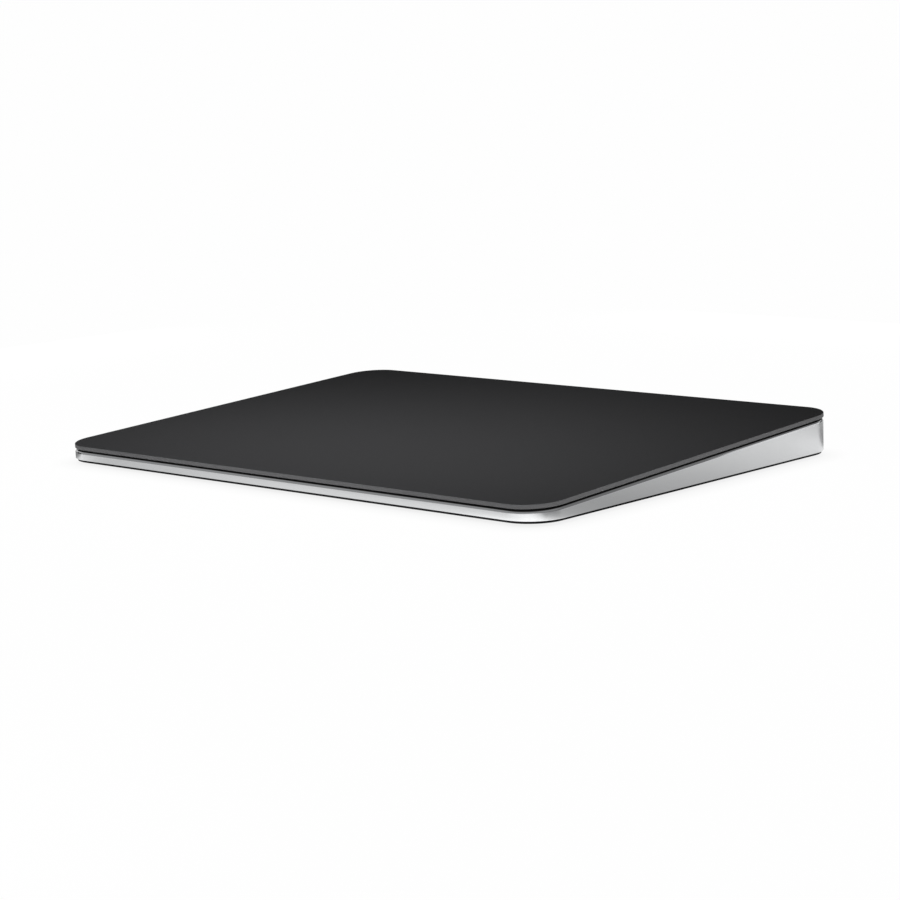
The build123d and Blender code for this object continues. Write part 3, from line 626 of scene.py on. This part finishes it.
# %% Housing
weld_gap = 0.002 * mm
flat_within = radians(0.3)
chamfer_drop = 0.4 * mm
broader_cut = 0.13 * mm
least_lean, most_lean = 0.3, 0.95
mesh = bmesh.new()
mesh.from_mesh(nodes["housing"].data)
bmesh.ops.remove_doubles(mesh, verts=mesh.verts, dist=weld_gap)
bmesh.ops.dissolve_limit(
    mesh, angle_limit=flat_within, verts=mesh.verts, edges=mesh.edges, use_dissolve_boundaries=False
)
rim_level = max(v.co.dot(press_axis) for v in mesh.verts)
for face in mesh.faces:
    middle = face.calc_center_median()
    near_rim = middle.dot(press_axis) > rim_level - chamfer_drop
    leaning = least_lean < face.normal.dot(press_axis) < most_lean
    if near_rim and leaning and face.normal.dot(middle) > 0:
        face.material_index = 1
cut_corners = {v for face in mesh.faces if face.material_index == 1 for v in face.verts}
for v in cut_corners:
    if rim_level - v.co.dot(press_axis) > chamfer_drop / 2:
        v.co.z -= broader_cut
print("cut corners:", len(cut_corners))
housing_shell = make_piece(
    "housing_shell",
    mesh,
    "anodised_aluminium",
    "housing_body",
    "housing",
    smooth_angle=25,
    second=cut_aluminium_painted_shade,
)
print("loose edges:", sum(edge.is_loose for edge in housing_shell.data.edges))

# %% [markdown]
# The stage is a pale desk that runs out of sight and sweeps up behind, as a roll of paper
# does in a studio. A circle is the desk, and its rim is extruded in small steps round a
# quarter turn, so no horizon shows. It lies a hair below the feet, so that nothing flickers
# where they meet it.

# %% Desk and backdrop
desk_reach = 3.0
desk_drop = 0.02 * mm
sweep_radius = 1.0
sweep_steps = 12
round_segments = 96

mesh = bmesh.new()
bmesh.ops.create_circle(mesh, cap_ends=True, radius=desk_reach, segments=round_segments)
bmesh.ops.translate(mesh, vec=(0, 0, -desk_drop), verts=mesh.verts)
rim = mesh.edges[:]
for step in range(1, sweep_steps + 1):
    angle = radians(90) * step / sweep_steps
    raised = bmesh.ops.extrude_edge_only(mesh, edges=rim)["geom"]
    ring = [v for v in raised if isinstance(v, bmesh.types.BMVert)]
    rim = [e for e in raised if isinstance(e, bmesh.types.BMEdge)]
    rim = [e for e in rim if e.verts[0] in ring and e.verts[1] in ring]
    for v in ring:
        outwards = Vector((v.co.x, v.co.y, 0)).normalized()
        v.co = outwards * (desk_reach + sweep_radius * sin(angle))
        v.co.z = sweep_radius * (1 - cos(angle)) - desk_drop
desk = make_object("desk", mesh)
desk.data.shade_smooth()
print("desk:", len(desk.data.polygons), "faces")

# %% [markdown]
# A white desk alone would render grey wherever less light falls, so camera, mirror and
# through rays see most of it as plain white light, and the rest of it takes the object's
# shadow. The photograph keeps a faint shade close to the object. Ambient occlusion dims the
# white light there, within a few millimetres of whatever stands on the desk.


# %% White desk
def bare_material(stage_object, name):
    """Gives an object a new material with an empty node tree, and returns the tree."""
    material = bpy.data.materials.new(name)
    material.use_nodes = True
    material.node_tree.nodes.clear()
    stage_object.data.materials.append(material)
    return material.node_tree


glow_share = 0.99
contact_shade = 0.14
contact_reach = 7 * mm
contact_samples = 3

tree = bare_material(desk, "white_desk")
rays = add_node(tree, "ShaderNodeLightPath").outputs
shown = rays["Is Camera Ray"]
for ray in ("Is Glossy Ray", "Is Transmission Ray"):
    either = add_node(tree, "ShaderNodeMath", {"operation": "MAXIMUM"})
    tree.links.new(shown, either.inputs[0])
    tree.links.new(rays[ray], either.inputs[1])
    shown = either.outputs[0]
glowing = add_node(tree, "ShaderNodeMath", {"operation": "MULTIPLY"})
tree.links.new(shown, glowing.inputs[0])
glowing.inputs[1].default_value = glow_share
open_sky = add_node(
    tree, "ShaderNodeAmbientOcclusion", {"Distance": contact_reach, "samples": contact_samples}
)
shade = add_node(
    tree,
    "ShaderNodeMapRange",
    {"To Min": 1 - contact_shade, "To Max": 1.0},
    Value=open_sky.outputs["AO"],
)
matt = add_node(tree, "ShaderNodeBsdfDiffuse", {"Color": linear("f3f3f3")})
glow = add_node(tree, "ShaderNodeEmission", {"Strength": 1.0}, Color=shade.outputs["Result"])
mixed = add_node(tree, "ShaderNodeMixShader", Fac=glowing.outputs[0])
tree.links.new(matt.outputs[0], mixed.inputs[1])
tree.links.new(glow.outputs[0], mixed.inputs[2])
add_node(tree, "ShaderNodeOutputMaterial", Surface=mixed.outputs[0])
print(f"shade of {contact_shade:.0%} within {contact_reach / mm:.0f} mm of the object")

# %% [markdown]
# The lamps stay at a plain level, at which a colour renders about as it is written. One soft
# box hangs over the front of the touch face, which the photograph shows a little lighter
# there. Four low strips stand round the object, so that its walls, its port and its switch
# get the same light from every side. The metal doesn't mirror the lamps, because small
# bright boxes would clip in it, and it gets its light tent below instead.

# %% World and lamps
world_strength = 0.15
strip_distance = 0.3
strip_height = 0.014

world = bpy.data.worlds.new("studio")
bpy.context.scene.world = world
world.use_nodes = True
sky = world.node_tree.nodes["Background"].inputs
sky["Color"].default_value = linear("ffffff")
sky["Strength"].default_value = world_strength


def soft_box(name, watts, size, position, target, spread_angle=pi):
    """A soft box that faces a target, and that neither the camera nor the metal shows."""
    data = bpy.data.lights.new(name, "AREA")
    data.shape = "RECTANGLE"
    data.energy = watts
    data.size, data.size_y = size
    data.spread = spread_angle
    lamp = bpy.data.objects.new(name, data)
    bpy.context.scene.collection.objects.link(lamp)
    aim = (Vector(target) - Vector(position)).to_track_quat("-Z", "Y")
    lamp.matrix_world = Matrix.Translation(position) @ aim.to_matrix().to_4x4()
    lamp.visible_camera = False
    lamp.visible_glossy = False
    print(f"{name}: {watts} W")


soft_box(
    "overhead",
    watts=0.08,
    size=(0.18, 0.06),
    position=(-0.002, -0.033, 0.2),
    target=(-0.002, -0.032, 0),
    spread_angle=radians(75),
)
for side in range(4):
    quarter_turns = Matrix.Rotation(radians(90) * side, 4, "Z")
    soft_box(
        f"strip_{side}",
        watts=0.56,
        size=(0.3, 0.02),
        position=quarter_turns @ Vector((0, -strip_distance, strip_height)),
        target=(0, 0, 0.006),
    )

# %% [markdown]
# Metal shows what stands around it, so small metal objects are photographed inside a tent of
# white cloth, with black cards where an edge should stand out. This tent is a low ring of
# cloth, a ground cloth, and a band of greyer cloth above the ring, which the chamfer mirrors.
# Each has its light written by azimuth in degrees, from the left at -90, through the front at
# 0 and the right at 90, to the back at 180. The walls are seen from low down and mirror the
# ground close to them, so the ground cloth has the same plan as the ring. It is bright off
# the near corner and dim off the near end of the right wall. The dark gaps beyond the left
# and the right corner draw the soft dark lines that end the metal.

# %% Light levels of the tent
tent_wall = {
    -90: 1.1,
    -84: 0.9,
    -78: 0.05,
    -60: 0.05,
    -56: 0.9,
    -52: 1.45,
    -46: 0.56,
    -24: 0.9,
    5: 1.4,
    38: 1.6,
    66: 0.25,
    115: 0.2,
    128: 0.65,
    134: 1.4,
    145: 1.6,
    153: 0.1,
    195: 0.1,
    230: 0.45,
    262: 1.1,
}
valance = {
    -90: 0.9,
    -75: 0.9,
    -60: 0.46,
    -30: 0.46,
    90: 0.4,
    130: 0.28,
    146: 0.28,
    158: 0.9,
}
ground_cloth = {
    -90: 0.85,
    -80: 0.5,
    -72: 0.2,
    -58: 0.2,
    -56: 0.8,
    -53: 1.3,
    -49: 0.69,
    -10: 0.92,
    20: 0.97,
    38: 1.0,
    50: 1.57,
    56: 1.57,
    64: 0.5,
    74: 0.42,
    100: 0.6,
    122: 0.92,
    129: 1.25,
    132: 0.28,
    141: 0.3,
    154: 0.8,
    180: 0.85,
}
brightest = max(*tent_wall.values(), *valance.values(), *ground_cloth.values())
print("brightest cloth:", brightest)

# %% [markdown]
# Real cloth round the object would block the camera and the lamps. Blender can hide an
# object from every kind of ray but one, so this cloth is there only for mirror rays, and it
# casts no shadow. A radial gradient on the object's own coordinates gives the azimuth, a
# colour ramp turns it into light, and the ramp holds shares of the brightest level because
# its colours end at 1. The gradient starts and ends on the left, so the level there is both
# the ramp's first and its last.

# %% Cloth for mirror rays
gradient_seam = -90


def hang_cloth(name, mesh, levels):
    """Cloth that only mirror rays see, lit by azimuth."""
    cloth = make_object(name, mesh)
    cloth.visible_camera = False
    cloth.visible_diffuse = False
    cloth.visible_transmission = False
    cloth.visible_shadow = False
    tree = bare_material(cloth, name)
    place = add_node(tree, "ShaderNodeTexCoord").outputs["Object"]
    turn = add_node(tree, "ShaderNodeTexGradient", {"gradient_type": "RADIAL"}, Vector=place)
    ramp = add_node(tree, "ShaderNodeValToRGB", Fac=turn.outputs["Fac"])
    stops = ramp.color_ramp.elements
    shares = {azimuth: (*[level / brightest] * 3, 1) for azimuth, level in levels.items()}
    stops[0].color = stops[1].color = shares.pop(gradient_seam)
    for azimuth, share in shares.items():
        stops.new((azimuth - gradient_seam) / 360).color = share
    light = add_node(
        tree, "ShaderNodeEmission", {"Strength": brightest}, Color=ramp.outputs["Color"]
    )
    add_node(tree, "ShaderNodeOutputMaterial", Surface=light.outputs[0])
    print(f"{name}: {len(levels)} levels, {len(cloth.data.polygons)} faces")


# %% [markdown]
# The ring and the band above it are open cylinders, and the ground cloth is a disc just above
# the desk. The walls mirror the ground cloth, and being satin they also show a blurred strip
# of the ring just above it. The ring is low, so that its dark gaps end below the part of the
# tent that the chamfer mirrors.

# %% Hang the tent
tent_radius = 0.3
tent_height = 0.05
valance_height = 0.2
cloth_lift = 0.01 * mm

for name, foot, height, levels in (
    ("tent_wall", 0, tent_height, tent_wall),
    ("tent_valance", tent_height, valance_height, valance),
):
    mesh = bmesh.new()
    bmesh.ops.create_cone(
        mesh, segments=round_segments, radius1=tent_radius, radius2=tent_radius, depth=height
    )
    bmesh.ops.translate(mesh, vec=(0, 0, foot + height / 2), verts=mesh.verts)
    hang_cloth(name, mesh, levels)

mesh = bmesh.new()
bmesh.ops.create_circle(mesh, cap_ends=True, radius=tent_radius, segments=round_segments)
bmesh.ops.translate(mesh, vec=(0, 0, cloth_lift), verts=mesh.verts)
hang_cloth("ground_cloth", mesh, ground_cloth)

bpy.context.scene.view_settings.view_transform = "Standard"
